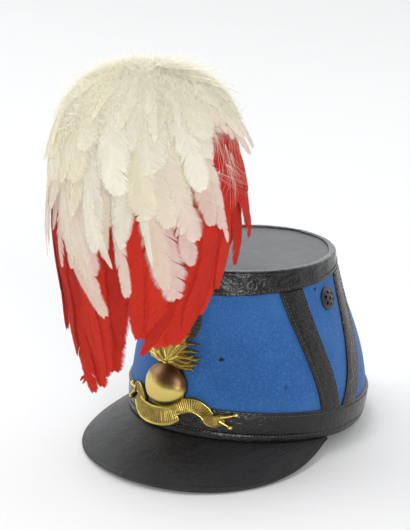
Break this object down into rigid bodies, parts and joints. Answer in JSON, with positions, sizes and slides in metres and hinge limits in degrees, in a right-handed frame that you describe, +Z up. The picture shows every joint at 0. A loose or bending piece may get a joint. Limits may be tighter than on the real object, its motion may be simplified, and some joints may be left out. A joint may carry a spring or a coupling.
{
  "type": "shako hat with a feather plume",
  "caption": "Tapered cloth shako with leather bands, a leather peak, a brass flaming-ball badge, a cockade and a falling feather plume.",
  "frame": {"origin": "on the ground under the middle of the whole object's box, as the hat rests by itself on the rear of its rim and the edge of its peak", "axes": "+Z up, the front of the hat towards -Y, the wearer's left towards +X"},
  "size_m": [0.1762, 0.2804, 0.2876],
  "materials": {
    "cloth": "mid blue felted wool cloth",
    "top_leather": "smooth black leather with a dull shine",
    "band_leather": "creased black leather with worn brown edges",
    "peak_leather": "pebbled black leather, nearly matt",
    "vent_metal": "black japanned metal",
    "silk": "pleated black silk",
    "brass": "polished brass with tarnish in its hollows",
    "white_feather": "soft cream-white cock feathers",
    "red_feather": "soft bright red cock feathers",
    "stem_wire": "plain dull wire"
  },
  "bodies": {
    "root": {"crown_body": "cloth", "crown_top": "top_leather", "crown_band": "band_leather", "base_band": "band_leather", "chevron_front_left": "band_leather", "chevron_front_right": "band_leather", "chevron_rear_left": "band_leather", "chevron_rear_right": "band_leather", "peak": "peak_leather", "vent_left": "vent_metal", "vent_right": "vent_metal", "cockade": "silk", "badge": "brass", "plume_white": "white_feather", "plume_red": "red_feather", "plume_stem": "stem_wire"}
  },
  "joints": []
}
